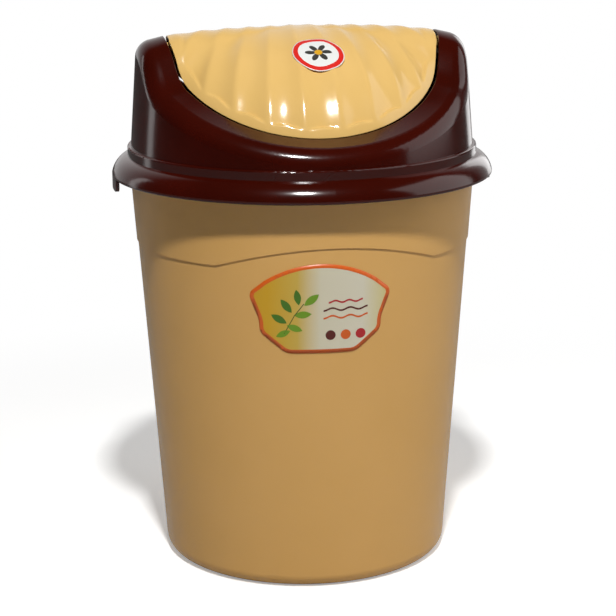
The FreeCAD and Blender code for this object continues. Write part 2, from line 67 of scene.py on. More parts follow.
# Ears and stub pivots: fineness, and the angle in radians above which an edge is rounded
STUB_SEGMENTS = 40
EAR_ROUNDING_SEGMENTS = 2
SHARP_ANGLE = 1.0

# Formula of the flap: step for its slope, share of the radius where it stops, rounding of the ridges
# between flutes, and the least distance from the axis that it divides by
SLOPE_STEP = 0.05 * MM
EDGE_OVERRUN = 1.001
RIDGE_ROUNDING = 0.05
AXIS_GUARD = 1e-9

# Label's outline: steps of its arched top, those left to the rounded corners, and the rounding
ARCH_STEPS = 24
ARCH_CORNER_STEPS = 3
CORNER_SEGMENTS = 6
SHARP_CORNERS_PER_SIDE = 4

# Order of the label's papers
BORDER_PLACE, FIELD_PLACE = range(2)

# Upright strips of the label, shifted to keep their cuts off the main points of the outline
STRIPS_PER_SIDE = 24
STRIP_WIDTH = 1.5 * MM
STRIP_SHIFT = 0.37

# Inks of the label's print: material and setting of each, and their order
INKS = (
    ("leaf_green_ink", "leaf"),
    ("deep_green_ink", "deep_leaf"),
    ("stem_ink", "stem"),
    ("brown_ink", "brown"),
    ("red_ink", "red"),
    ("orange_ink", "orange"),
)
LEAF, DEEP_LEAF, STEM, BROWN, RED, ORANGE = range(len(INKS))

# Print of the label: place from its middle, lean and length of each leaf and stem
LEAVES = (
    (-18.5 * MM, -3.5 * MM, math.radians(205), 7.5 * MM),
    (-20.5 * MM, 4.0 * MM, math.radians(150), 8.5 * MM),
    (-13.0 * MM, -0.6 * MM, math.radians(-20), 8.0 * MM),
    (-17.0 * MM, 10.6 * MM, math.radians(128), 8.5 * MM),
    (-9.0 * MM, 6.2 * MM, math.radians(5), 8.5 * MM),
    (-11.6 * MM, 15.0 * MM, math.radians(100), 8.0 * MM),
    (-4.8 * MM, 13.6 * MM, math.radians(38), 9.0 * MM),
)
LEAF_SLIMNESS = 0.42
STEMS = (
    (-15.4 * MM, 1.4 * MM, math.radians(62), 11.0 * MM),
    (-10.9 * MM, 8.6 * MM, math.radians(53), 8.0 * MM),
)
STEM_WIDTH = 0.45 * MM
STEM_SEGMENTS = 8
MOTIF_SEGMENTS = 32

# Wavy lines: height above the middle, length and ink; sway is a share of half the length
RIBBONS = (
    (12.5 * MM, 17.0 * MM, RED),
    (8.6 * MM, 22.0 * MM, BROWN),
    (4.7 * MM, 22.0 * MM, ORANGE),
)
RIBBON_ACROSS = 12.0 * MM
RIBBON_WIDTH = 0.9 * MM
RIBBON_SEGMENTS = 40
RIBBON_WAVES = 2.5
RIBBON_SWAY = 0.06

# Dots: place to the right of the middle, and ink
DOTS = (
    (4.5 * MM, BROWN),
    (12.0 * MM, ORANGE),
    (19.5 * MM, RED),
)
DOTS_UP = -4.5 * MM
DOT_RADIUS = 2.5 * MM

# Plastics: flow clouds with the noise values of their dark and light tones, smears in the gloss, peel
PLASTIC_IOR = 1.49
FLOW_CLOUD_SIZE = 55 * MM
CLOUD_DARK = 0.35
CLOUD_LIGHT = 0.65
SMEAR_SIZE = 18 * MM
PEEL_STRENGTH = 0.35

# Papers: gloss, and the tooth with the brightness of its dips and tops
PAPER_IOR = 1.5
INK_ROUGHNESS = 0.35
FIELD_ROUGHNESS = 0.32
TOOTH_SIZE = 0.8 * MM
TOOTH_DIP = 0.94
TOOTH_TOP = 1.05

# Sticker's print: pairs of petals and, in shares of its radius, the flower and the ring
PETAL_PAIRS = 3.0
HEART_RADIUS = 0.15
PETAL_BASE = 0.12
PETAL_TIP = 0.52
RING_INSIDE = 0.78
RING_OUTSIDE = 0.96

# Colour sockets of a mix node, which share their names with its other kinds
MIX_COLOUR_INPUTS = (6, 7)
MIX_COLOUR_OUTPUT = 2

# Studio, in metres. Lamps: name, setting of the power, place, width and height
FLOOR_REACH = 4.0
LAMPS_AIM = Vector((0, 0, 0.14))
LAMPS = (
    ("key_lamp", "key", (-0.1, -0.74, 1.24), 0.09, 0.09),
    ("right_lamp", "fill", (1.0, -0.1, 0.6), 1.0, 1.0),
    ("right_strip", "strip", (0.72, 0.95, 0.3), 0.3, 0.9),
    ("left_strip", "left_strip", (-0.85, 0.62, 0.3), 0.14, 0.9),
)
WHITE = (1, 1, 1, 1)


def linear(code):
    """Linear colour of an sRGB hex code."""
    channels = [int(code[spot:spot + 2], 16) / 255 for spot in (1, 3, 5)]
    curve = [value / 12.92 if value <= 0.04045 else ((value + 0.055) / 1.055) ** 2.4 for value in channels]
    return (*curve, 1.0)


# Wash of the label's field from left to right: share of its width and colour
WASH = (
    (0.06, linear("#d2a21c")),
    (0.26, linear("#cfae4a")),
    (0.42, linear("#d9d2b8")),
    (0.72, linear("#dcd6c0")),
    (0.88, linear("#d6c98e")),
    (0.98, linear("#d8b84a")),
)


class BucketSettings(bpy.types.PropertyGroup):
    """Wall of the bucket, and the colours of the bucket and the lid; the bucket's cream is the flap's plastic
    made darker and more orange, as painted shade for its upright wall
    """
    base_radius: bpy.props.FloatProperty(
        name="Base radius", description="Outer radius of the wall where it meets the floor's plane",
        default=74.2 * MM, unit="LENGTH")
    rim_radius: bpy.props.FloatProperty(
        name="Rim radius", description="Outer radius of the wall at the rim", default=88.7 * MM,
        unit="LENGTH")
    height: bpy.props.FloatProperty(
        name="Height", description="Height of the rim above the floor", default=209.5 * MM, unit="LENGTH")
    # Painted shade: these two creams are the flap's plastic made darker and more orange, to stand in for the
    # shade on the bucket's upright wall
    cream_light: bpy.props.FloatVectorProperty(
        name="Bucket, light", description="Lighter tone of the bucket's plastic", default=linear("#e2b066"),
        size=4, min=0.0, max=1.0, subtype="COLOR")
    cream_dark: bpy.props.FloatVectorProperty(
        name="Bucket, dark", description="Darker tone of the bucket's plastic", default=linear("#dfad62"),
        size=4, min=0.0, max=1.0, subtype="COLOR")
    brown_light: bpy.props.FloatVectorProperty(
        name="Lid, light", description="Lighter tone of the lid's plastic", default=linear("#3c0a03"),
        size=4, min=0.0, max=1.0, subtype="COLOR")
    brown_dark: bpy.props.FloatVectorProperty(
        name="Lid, dark", description="Darker tone of the lid's plastic", default=linear("#340802"),
        size=4, min=0.0, max=1.0, subtype="COLOR")


class FlapSettings(bpy.types.PropertyGroup):
    """Sizes and colours of the fluted flap, its ears and its stub pivots"""
    plan_radius: bpy.props.FloatProperty(
        name="Plan radius", description="Radius of the flap seen from above", default=69 * MM, unit="LENGTH")
    half_width: bpy.props.FloatProperty(
        name="Half width", description="Distance from the middle to the flat sides", default=68.4 * MM,
        unit="LENGTH")
    crown_height: bpy.props.FloatProperty(
        name="Crown height", description="Height of the crown above the floor", default=277 * MM,
        unit="LENGTH")
    arch_radius: bpy.props.FloatProperty(
        name="Arch radius", description="Radius of the arch from front to back", default=73 * MM,
        unit="LENGTH")
    wall: bpy.props.FloatProperty(
        name="Wall", description="Thickness of the moulding", default=1.6 * MM, unit="LENGTH")
    front_height: bpy.props.FloatProperty(
        name="Front edge height", description="Height of the flap's front edge", default=229 * MM,
        unit="LENGTH")
    slope: bpy.props.FloatProperty(
        name="Edge slope", description="Slope of the edge seen from the side", default=math.radians(29.0),
        subtype="ANGLE")
    hollow_radius: bpy.props.FloatProperty(
        name="Hollow radius", description="Hollow between the slope and the ridge", default=30 * MM,
        unit="LENGTH")
    ridge_height: bpy.props.FloatProperty(
        name="Ridge height", description="Height of the edge over the pivots", default=273 * MM,
        unit="LENGTH")
    ridge_radius: bpy.props.FloatProperty(
        name="Ridge radius", description="Rounding of the edge over the pivots", default=24 * MM,
        unit="LENGTH")
    focus: bpy.props.FloatProperty(
        name="Flute focus", description="How far behind the axis the flutes would meet", default=95 * MM,
        unit="LENGTH")
    pitch: bpy.props.FloatProperty(
        name="Flute pitch", description="Angle from one flute to the next", default=math.radians(6.4),
        subtype="ANGLE")
    depth: bpy.props.FloatProperty(
        name="Flute depth", description="Depth of a flute below its ridges", default=1.7 * MM, unit="LENGTH")
    margin: bpy.props.FloatProperty(
        name="Plain margin", description="Plain border between the flutes and the edge", default=3.0 * MM,
        unit="LENGTH")
    bulge: bpy.props.FloatProperty(
        name="Margin bulge", description="How far the plain border reaches up into each flute",
        default=3.6 * MM, unit="LENGTH")
    runout: bpy.props.FloatProperty(
        name="Flute run-out", description="Length over which a flute ends", default=2.2 * MM, unit="LENGTH")
    fade_start: bpy.props.FloatProperty(
        name="Fade start", description="Distance in front of the crown where the flutes start to fade",
        default=30 * MM, unit="LENGTH")
    fade_end: bpy.props.FloatProperty(
        name="Fade end", description="Distance behind the crown where the flutes are gone", default=30 * MM,
        unit="LENGTH")
    pivot_height: bpy.props.FloatProperty(
        name="Pivot height", description="Height of the pivot line", default=266.5 * MM, unit="LENGTH")
    pivot_radius: bpy.props.FloatProperty(
        name="Pivot radius", description="Radius of a stub pivot", default=2.25 * MM, unit="LENGTH")
    pivot_length: bpy.props.FloatProperty(
        name="Pivot length", description="Length of a stub pivot from the middle of its ear",
        default=8.7 * MM, unit="LENGTH")
    collar_radius: bpy.props.FloatProperty(
        name="Pivot collar radius", description="Radius of the collar round a stub pivot", default=3.4 * MM,
        unit="LENGTH")
    collar_length: bpy.props.FloatProperty(
        name="Pivot collar length", description="Length of the collar from the middle of its ear",
        default=4.8 * MM, unit="LENGTH")
    ear_place: bpy.props.FloatProperty(
        name="Ear place", description="Distance from the middle to each ear", default=66.1 * MM,
        unit="LENGTH")
    ear_thickness: bpy.props.FloatProperty(
        name="Ear thickness", description="Thickness of an ear", default=1.8 * MM, unit="LENGTH")
    ear_width: bpy.props.FloatProperty(
        name="Ear width", description="Width of an ear from front to back", default=13 * MM, unit="LENGTH")
    ear_height: bpy.props.FloatProperty(
        name="Ear height", description="Height of an ear", default=10.5 * MM, unit="LENGTH")
    ear_rise: bpy.props.FloatProperty(
        name="Ear rise", description="Height of an ear's middle above the pivot line", default=0.2 * MM,
        unit="LENGTH")
    ear_rounding: bpy.props.FloatProperty(
        name="Ear rounding", description="Rounding of the ears' and stub pivots' edges", default=0.25 * MM,
        unit="LENGTH")
    cream_light: bpy.props.FloatVectorProperty(
        name="Flap, light", description="Lighter tone of the flap's plastic", default=linear("#e2ba72"),
        size=4, min=0.0, max=1.0, subtype="COLOR")
    cream_dark: bpy.props.FloatVectorProperty(
        name="Flap, dark", description="Darker tone of the flap's plastic", default=linear("#ddb56b"),
        size=4, min=0.0, max=1.0, subtype="COLOR")


class LabelSettings(bpy.types.PropertyGroup):
    """Outline, place and inks of the paper label"""
    width: bpy.props.FloatProperty(
        name="Width", description="Widest part of the label", default=70 * MM, unit="LENGTH")
    waist: bpy.props.FloatProperty(
        name="Waist", description="Width below the shoulders", default=59.5 * MM, unit="LENGTH")
    foot: bpy.props.FloatProperty(
        name="Foot", description="Width of the straight foot", default=34 * MM, unit="LENGTH")
    shoulder_height: bpy.props.FloatProperty(
        name="Shoulder height", description="Height of the widest part above the foot", default=30 * MM,
        unit="LENGTH")
    waist_height: bpy.props.FloatProperty(
        name="Waist height", description="Height of the waist's upper end above the foot", default=16.5 * MM,
        unit="LENGTH")
    hip_height: bpy.props.FloatProperty(
        name="Hip height", description="Height of the waist's lower end above the foot", default=10.5 * MM,
        unit="LENGTH")
    corner: bpy.props.FloatProperty(
        name="Corner", description="How far the rounding of a corner reaches", default=2.7 * MM,
        unit="LENGTH")
    border_width: bpy.props.FloatProperty(
        name="Border", description="Width of the printed border", default=1.9 * MM, unit="LENGTH")
    turn: bpy.props.FloatProperty(
        name="Turn", description="Turn to the left of the front", default=math.radians(3.5), subtype="ANGLE")
    thickness: bpy.props.FloatProperty(
        name="Thickness", description="Thickness of the paper", default=0.15 * MM, unit="LENGTH")
    lift: bpy.props.FloatProperty(
        name="Lift", description="Distance of the label's face from the wall", default=0.26 * MM,
        unit="LENGTH")
    print_lift: bpy.props.FloatProperty(
        name="Print lift", description="Distance of the print from the wall", default=0.29 * MM,
        unit="LENGTH")
    border: bpy.props.FloatVectorProperty(
        name="Border ink", description="Colour of the border", default=linear("#d8601c"),
        size=4, min=0.0, max=1.0, subtype="COLOR")
    leaf: bpy.props.FloatVectorProperty(
        name="Leaf ink", description="Colour of every other leaf", default=linear("#6f9a1e"),
        size=4, min=0.0, max=1.0, subtype="COLOR")
    deep_leaf: bpy.props.FloatVectorProperty(
        name="Deep leaf ink", description="Colour of the leaves between", default=linear("#44751a"),
        size=4, min=0.0, max=1.0, subtype="COLOR")
    stem: bpy.props.FloatVectorProperty(
        name="Stem ink", description="Colour of the stems", default=linear("#4a5a1c"),
        size=4, min=0.0, max=1.0, subtype="COLOR")
    brown: bpy.props.FloatVectorProperty(
        name="Brown ink", description="Colour of the brown line and dot", default=linear("#5a1a12"),
        size=4, min=0.0, max=1.0, subtype="COLOR")
    red: bpy.props.FloatVectorProperty(
        name="Red ink", description="Colour of the red line and dot", default=linear("#b8232a"),
        size=4, min=0.0, max=1.0, subtype="COLOR")
    orange: bpy.props.FloatVectorProperty(
        name="Orange ink", description="Colour of the orange line and dot", default=linear("#d8601c"),
        size=4, min=0.0, max=1.0, subtype="COLOR")


class StickerSettings(bpy.types.PropertyGroup):
    """Size, place and inks of the round sticker"""
    radius: bpy.props.FloatProperty(
        name="Radius", description="Radius of the sticker", default=13 * MM, unit="LENGTH")
    across: bpy.props.FloatProperty(
        name="Across", description="Place to the right of the middle", default=2.5 * MM, unit="LENGTH")
    forward: bpy.props.FloatProperty(
        name="Forward", description="Place in front of the crown", default=37 * MM, unit="LENGTH")
    lift: bpy.props.FloatProperty(
        name="Lift", description="Height of its face above the flap", default=0.2 * MM, unit="LENGTH")
    thickness: bpy.props.FloatProperty(
        name="Thickness", description="Thickness of the paper", default=0.12 * MM, unit="LENGTH")
    settle: bpy.props.FloatProperty(
        name="Settle", description="Share of the flutes' depth that it is pressed into", default=0.3,
        subtype="FACTOR")
    stock: bpy.props.FloatVectorProperty(
        name="Stock", description="Colour of the paper inside the ring", default=linear("#e2e4e0"),
        size=4, min=0.0, max=1.0, subtype="COLOR")
    edge: bpy.props.FloatVectorProperty(
        name="Edge", description="Colour of the paper outside the ring", default=linear("#e8e4de"),
        size=4, min=0.0, max=1.0, subtype="COLOR")
    ring: bpy.props.FloatVectorProperty(
        name="Ring ink", description="Colour of the ring", default=linear("#d6261e"),
        size=4, min=0.0, max=1.0, subtype="COLOR")
    heart: bpy.props.FloatVectorProperty(
        name="Heart ink", description="Colour of the flower's heart", default=linear("#d8a11e"),
        size=4, min=0.0, max=1.0, subtype="COLOR")
    petal: bpy.props.FloatVectorProperty(
        name="Petal ink", description="Colour of the petals", default=linear("#3a3a36"),
        size=4, min=0.0, max=1.0, subtype="COLOR")


class StudioSettings(bpy.types.PropertyGroup):
    """Camera, lamps and paper"""
    azimuth: bpy.props.FloatProperty(
        name="Azimuth", description="Camera's turn round the bin", default=math.radians(-9.5),
        subtype="ANGLE")
    distance: bpy.props.FloatProperty(
        name="Distance", description="Level distance from the axis", default=0.9755, unit="LENGTH")
    height: bpy.props.FloatProperty(
        name="Height", description="Camera's height above the floor", default=0.3726, unit="LENGTH")
    pitch: bpy.props.FloatProperty(
        name="Pitch", description="How far the camera looks down", default=math.radians(14.08),
        subtype="ANGLE")
    heading: bpy.props.FloatProperty(
        name="Heading", description="Aim to the right of the axis", default=math.radians(0.15),
        subtype="ANGLE")
    roll: bpy.props.FloatProperty(
        name="Roll", description="Camera's tilt to the right", default=math.radians(0.45), subtype="ANGLE")
    lens: bpy.props.FloatProperty(
        name="Lens", description="Focal length in millimetres", default=111.04, unit="CAMERA")
    sensor: bpy.props.FloatProperty(
        name="Sensor", description="Width of the sensor in millimetres", default=36.0, unit="CAMERA")
    key: bpy.props.FloatProperty(
        name="Key lamp", description="Power of the key lamp", default=16.0, unit="POWER")
    fill: bpy.props.FloatProperty(
        name="Side lamp", description="Power of the lamp on the right", default=4.0, unit="POWER")
    strip: bpy.props.FloatProperty(
        name="Right strip", description="Power of the strip lamp that draws the right edge", default=1.4,
        unit="POWER")
    left_strip: bpy.props.FloatProperty(
        name="Left strip", description="Power of the strip lamp that draws the left edge", default=0.56,
        unit="POWER")
    shadow_reach: bpy.props.FloatProperty(
        name="Shadow reach", description="Distance from the axis where the floor has cleared to white",
        default=0.5, unit="LENGTH")
    shadow_start: bpy.props.FloatProperty(
        name="Shadow start", description="Distance from the axis where the floor starts to clear",
        default=0.2, unit="LENGTH")
    paper_lift: bpy.props.FloatProperty(
        name="Paper lift", description="Light added to the paper towards white in the picture", default=0.34)
    paper_seen: bpy.props.FloatVectorProperty(
        name="Paper, seen", description="Colour of the paper in the picture", default=linear("#f4f4f3"),
        size=4, min=0.0, max=1.0, subtype="COLOR")
    paper_bounce: bpy.props.FloatVectorProperty(
        name="Paper, bounce", description="Colour that the paper gives to the bin", default=linear("#bcbab8"),
        size=4, min=0.0, max=1.0, subtype="COLOR")
    front_glow: bpy.props.FloatProperty(
        name="Front glow", description="Brightness of the room on the camera's side", default=0.015)
    back_glow: bpy.props.FloatProperty(
        name="Back glow", description="Brightness of the backdrop's side", default=0.8)
    glow_start: bpy.props.FloatProperty(
        name="Glow start", description="How far back the room starts to brighten, as the Y of a direction",
        default=0.5, subtype="FACTOR")
    glow_full: bpy.props.FloatProperty(
        name="Glow full", description="How far back the room is at its brightest, as the Y of a direction",
        default=0.97, subtype="FACTOR")


def join(tree, source, socket):
    """Feed a socket from another socket or with a fixed value."""
    if isinstance(source, bpy.types.NodeSocket):
        tree.links.new(source, socket)
    else:
        socket.default_value = source


def add_node(tree, kind, settings=None, inputs=None):
    """Add one node with its settings and its inputs, each a socket or a fixed value."""
    node = tree.nodes.new(kind)
    for name, value in (settings or {}).items():
        setattr(node, name, value)
    for name, source in (inputs or {}).items():
        join(tree, source, node.inputs[name])
    return node


def add_math(tree, operation, *terms):
    """Work out a value from one or two terms."""
    node = add_node(tree, "ShaderNodeMath", settings={"operation": operation})
    for spot, term in enumerate(terms):
        join(tree, term, node.inputs[spot])
    return node.outputs["Value"]


def distance_from_middle(tree, place):
    """Length of a place's vector."""
    node = add_node(tree, "ShaderNodeVectorMath", settings={"operation": "LENGTH"}, inputs={"Vector": place})
    return node.outputs["Value"]


def noise(tree, place, size, detail, roughness=0.5):
    """Noise with clouds of about a given size."""
    node = add_node(
        tree, "ShaderNodeTexNoise",
        inputs={"Vector": place, "Scale": 1 / size, "Detail": detail, "Roughness": roughness})
    return node.outputs["Fac"]


def remap(tree, value, **limits):
    """Carry a value from one range to another; ranges that aren't given run from 0 to 1."""
    named = {name.replace("_", " ").title(): limit for name, limit in limits.items()}
    return add_node(tree, "ShaderNodeMapRange", inputs={"Value": value, **named}).outputs["Result"]


def colour_ramp(tree, value, stops, interpolation="LINEAR"):
    """Colour of a value between stops of place and colour, in rising order."""
    node = add_node(tree, "ShaderNodeValToRGB", inputs={"Fac": value})
    node.color_ramp.interpolation = interpolation
    elements = node.color_ramp.elements
    for element, (position, colour) in zip(elements, (stops[0], stops[-1])):
        element.position = position
        element.color = colour
    for position, colour in stops[1:-1]:
        elements.new(position).color = colour
    return node.outputs["Color"]


def mix_colours(tree, factor, first, second):
    """Blend two colours, each a socket or fixed."""
    node = add_node(tree, "ShaderNodeMix", settings={"data_type": "RGBA"}, inputs={"Factor": factor})
    for spot, colour in zip(MIX_COLOUR_INPUTS, (first, second)):
        join(tree, colour, node.inputs[spot])
    return node.outputs[MIX_COLOUR_OUTPUT]


def mix_shaders(tree, factor, first, second):
    """Blend two shaders."""
    node = add_node(tree, "ShaderNodeMixShader", inputs={"Fac": factor})
    for spot, shader in enumerate((first, second), 1):
        tree.links.new(shader, node.inputs[spot])
    return node.outputs["Shader"]


def new_material(name):
    """Empty node material; returns the material, its tree and the socket of its surface."""
    material = bpy.data.materials.new(name)
    material.use_nodes = True
    tree = material.node_tree
    tree.nodes.clear()
    return material, tree, tree.nodes.new("ShaderNodeOutputMaterial").inputs["Surface"]


def moulded_plastic(name, light, dark, roughness, spread, peel, peel_height):
    """Injection-moulded polypropylene: even colour with faint flow clouds and a fine peel in the gloss."""
    material, tree, surface = new_material(name)
    place = add_node(tree, "ShaderNodeTexCoord").outputs["Object"]
    clouds = noise(tree, place, FLOW_CLOUD_SIZE, detail=3.0)
    tint = colour_ramp(tree, clouds, ((CLOUD_DARK, dark), (CLOUD_LIGHT, light)))
    smears = noise(tree, place, SMEAR_SIZE, detail=5.0, roughness=0.6)
    gloss = remap(tree, smears, to_min=roughness - spread, to_max=roughness + spread)
    grain = noise(tree, place, peel, detail=2.0)
    bump = add_node(
        tree, "ShaderNodeBump", inputs={"Strength": PEEL_STRENGTH, "Distance": peel_height, "Height": grain})
    shader = add_node(
        tree, "ShaderNodeBsdfPrincipled",
        inputs={"Base Color": tint, "Roughness": gloss, "IOR": PLASTIC_IOR, "Normal": bump.outputs["Normal"]})
    tree.links.new(shader.outputs["BSDF"], surface)
    return material


def paper_sheen(tree, surface, colour, roughness):
    """Give a paper its colour under a coated sheen."""
    shader = add_node(
        tree, "ShaderNodeBsdfPrincipled",
        inputs={"Base Color": colour, "Roughness": roughness, "IOR": PAPER_IOR})
    tree.links.new(shader.outputs["BSDF"], surface)


def coated_paper(name, colour):
    """Printed label stock: even ink with a faint paper tooth."""
    material, tree, surface = new_material(name)
    place = add_node(tree, "ShaderNodeTexCoord").outputs["Object"]
    tooth = noise(tree, place, TOOTH_SIZE, detail=4.0)
    tone = remap(tree, tooth, to_min=TOOTH_DIP, to_max=TOOTH_TOP)
    ink = add_node(tree, "ShaderNodeHueSaturation", inputs={"Color": colour, "Value": tone})
    paper_sheen(tree, surface, ink.outputs["Color"], INK_ROUGHNESS)
    return material


def label_field(name, reach):
    """Printed field of the label: warm yellow at both sides that clears to off-white in the middle."""
    material, tree, surface = new_material(name)
    place = add_node(tree, "ShaderNodeTexCoord").outputs["Object"]
    parts = add_node(tree, "ShaderNodeSeparateXYZ", inputs={"Vector": place})
    side = remap(tree, parts.outputs["X"], from_min=-reach, from_max=reach)
    paper_sheen(tree, surface, colour_ramp(tree, side, WASH), FIELD_ROUGHNESS)
    return material


def ringed_paper(name, inks):
    """Round coated sticker: white stock, a red ring near the edge and a small six-petal flower."""
    material, tree, surface = new_material(name)
    place = add_node(tree, "ShaderNodeUVMap", settings={"uv_map": "sticker"}).outputs["UV"]
    spread = distance_from_middle(tree, place)
    parts = add_node(tree, "ShaderNodeSeparateXYZ", inputs={"Vector": place})
    angle = add_math(tree, "ARCTAN2", parts.outputs["Y"], parts.outputs["X"])
    wave = add_math(tree, "COSINE", add_math(tree, "MULTIPLY", angle, PETAL_PAIRS))
    tip = remap(tree, add_math(tree, "ABSOLUTE", wave), to_min=PETAL_BASE, to_max=PETAL_TIP)
    inside = add_math(tree, "LESS_THAN", spread, tip)
    rings = colour_ramp(
        tree, spread, ((0.0, inks.stock), (RING_INSIDE, inks.ring), (RING_OUTSIDE, inks.edge)), "CONSTANT")
    flower = colour_ramp(tree, spread, ((0.0, inks.heart), (HEART_RADIUS, inks.petal)), "CONSTANT")
    paper_sheen(tree, surface, mix_colours(tree, inside, rings, flower), INK_ROUGHNESS)
    return material


def seamless_paper(name, sizes):
    """Matt white studio paper that keeps the soft shadow near the bin and clears to white further off."""
    material, tree, surface = new_material(name)
    place = add_node(tree, "ShaderNodeTexCoord").outputs["Object"]
    clear = add_node(
        tree, "ShaderNodeMapRange", settings={"interpolation_type": "SMOOTHSTEP"},
        inputs={"Value": distance_from_middle(tree, place), "From Min": sizes.shadow_start,
                "From Max": sizes.shadow_reach})
    seen = add_node(tree, "ShaderNodeLightPath").outputs["Is Camera Ray"]
    share = add_math(tree, "MULTIPLY", clear.outputs["Result"], seen)
    tone = mix_colours(tree, seen, sizes.paper_bounce, sizes.paper_seen)
    paper = add_node(tree, "ShaderNodeBsdfDiffuse", inputs={"Color": tone})
    white = add_node(tree, "ShaderNodeEmission", inputs={"Color": WHITE, "Strength": 1.0})
    lift = add_math(tree, "MULTIPLY", seen, sizes.paper_lift)
    veil = add_node(tree, "ShaderNodeEmission", inputs={"Color": WHITE, "Strength": lift})
    lit_paper = add_node(tree, "ShaderNodeAddShader")
    tree.links.new(paper.outputs["BSDF"], lit_paper.inputs[0])
    tree.links.new(veil.outputs["Emission"], lit_paper.inputs[1])
    blend = mix_shaders(tree, share, lit_paper.outputs["Shader"], white.outputs["Emission"])
    tree.links.new(blend, surface)
    return material


def shape_object(name, shape, materials):
    """New object from a finished shape, which is freed."""
    mesh = bpy.data.meshes.new(name)
    shape.to_mesh(mesh)
    shape.free()
    for material in materials:
        mesh.materials.append(material)
    item = bpy.data.objects.new(name, mesh)
    bpy.context.scene.collection.objects.link(item)
    return item


def mesh_piece(name, shape, body, materials):
    """New piece from a shape that moves with a body and takes its finish from a slot."""
    piece = shape_object(name, shape, materials)
    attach(piece, body)
    return piece


def thicken(piece, name, thickness):
    """Give a sheet its thickness, under its face."""
    modifier = piece.modifiers.new(name, "SOLIDIFY")
    modifier.thickness = thickness
    modifier.offset = -1.0


def everything(shape):
    """Points, edges and faces of a shape."""
    return shape.verts[:] + shape.edges[:] + shape.faces[:]


def flat_disc(radius, ring_cuts, spokes):
    """Flat round sheet, made of rings and spokes."""
    shape = bmesh.new()
    ends = [shape.verts.new((0, 0, 0)), shape.verts.new((0, -radius, 0))]
    spoke = shape.edges.new(ends)
    bmesh.ops.subdivide_edges(shape, edges=[spoke], cuts=ring_cuts)
    bmesh.ops.spin(
        shape, geom=shape.verts[:] + shape.edges[:], cent=(0, 0, 0), axis=(0, 0, 1),
        angle=2 * math.pi, steps=spokes, use_merge=True)
    bmesh.ops.remove_doubles(shape, verts=shape.verts[:], dist=MERGE_DISTANCE)
    return shape


def face_up(shape):
    """Turn every face of a lying sheet upwards and smooth it."""
    bmesh.ops.recalc_face_normals(shape, faces=shape.faces[:])
    if sum(face.normal.z for face in shape.faces) < 0:
        bmesh.ops.reverse_faces(shape, faces=shape.faces[:])
    for face in shape.faces:
        face.smooth = True


def face_front(shape):
    """Turn every face of a front sheet outwards and smooth it."""
    shape.normal_update()
    inward = [face for face in shape.faces if face.normal.y > 0]
    bmesh.ops.reverse_faces(shape, faces=inward)
    for face in shape.faces:
        face.smooth = True


def dress(node, material):
    """Give a solid of the frame its finish."""
    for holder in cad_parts[node].material_slots:
        holder.material = material


class SWINGBIN_OT_finishes(bpy.types.Operator):
    """Give the bucket and the lid their moulded finishes"""
    bl_idname = "swingbin.finishes"
    bl_label = "Bucket and lid finishes"

    def execute(self, context):
        tones = context.scene.swingbin_bucket
        # Painted shade: the bucket's cream tones are darker and more orange than the flap's, standing in for
        # the shade on its upright wall
        cream = moulded_plastic(
            "cream_polypropylene", tones.cream_light, tones.cream_dark, roughness=0.25, spread=0.04,
            peel=2.4 * MM, peel_height=0.015 * MM)
        brown = moulded_plastic(
            "brown_polypropylene", tones.brown_light, tones.brown_dark, roughness=0.15, spread=0.03,
            peel=2.2 * MM, peel_height=0.02 * MM)
        dress("bin_body", cream)
        dress("lid_dome", brown)
        return {"FINISHED"}


def edge_curve(sizes):
    """Side view of the flap's edge as a function of the distance from the pivot line."""
    along = Vector((-math.cos(sizes.slope), math.sin(sizes.slope)))
    normal = Vector((math.sin(sizes.slope), math.cos(sizes.slope)))
    start = Vector((sizes.plan_radius, sizes.front_height))
    ridge = Vector((0, sizes.ridge_height - sizes.ridge_radius))
    below = -(ridge - start).dot(normal)
    foot = (ridge - start).dot(along)
    apart = math.sqrt((sizes.ridge_radius + sizes.hollow_radius) ** 2 - (sizes.hollow_radius + below) ** 2)
    meet = start + along * (foot - apart)
    hollow = meet + normal * sizes.hollow_radius
    turn = hollow.x * sizes.ridge_radius / (sizes.ridge_radius + sizes.hollow_radius)

    def height(away):
        if away >= meet.x:
            return sizes.front_height + (sizes.plan_radius - away) * math.tan(sizes.slope)
        if away >= turn:
            return hollow.y - math.sqrt(sizes.hollow_radius ** 2 - (hollow.x - away) ** 2)
        return ridge.y + math.sqrt(sizes.ridge_radius ** 2 - away ** 2)

    return height


def ease(share):
    """Smooth step from 0 to 1."""
    held = min(max(share, 0), 1)
    return held * held * (3 - 2 * held)


def arch_fall(sizes, away):
    """How far the arch has dropped at a distance from its top."""
    return sizes.arch_radius - math.sqrt(sizes.arch_radius ** 2 - away ** 2)


def crown(sizes, edge, across, forward):
    """Height of the smooth flap over a plan point, and of the edge in that direction."""
    away = math.hypot(across, forward)
    rim = edge(abs(sizes.plan_radius * forward / max(away, AXIS_GUARD)))
    reach = min(away, sizes.plan_radius * EDGE_OVERRUN)
    fall = arch_fall(sizes, reach) / arch_fall(sizes, sizes.plan_radius)
    return sizes.crown_height - (sizes.crown_height - rim) * fall, rim


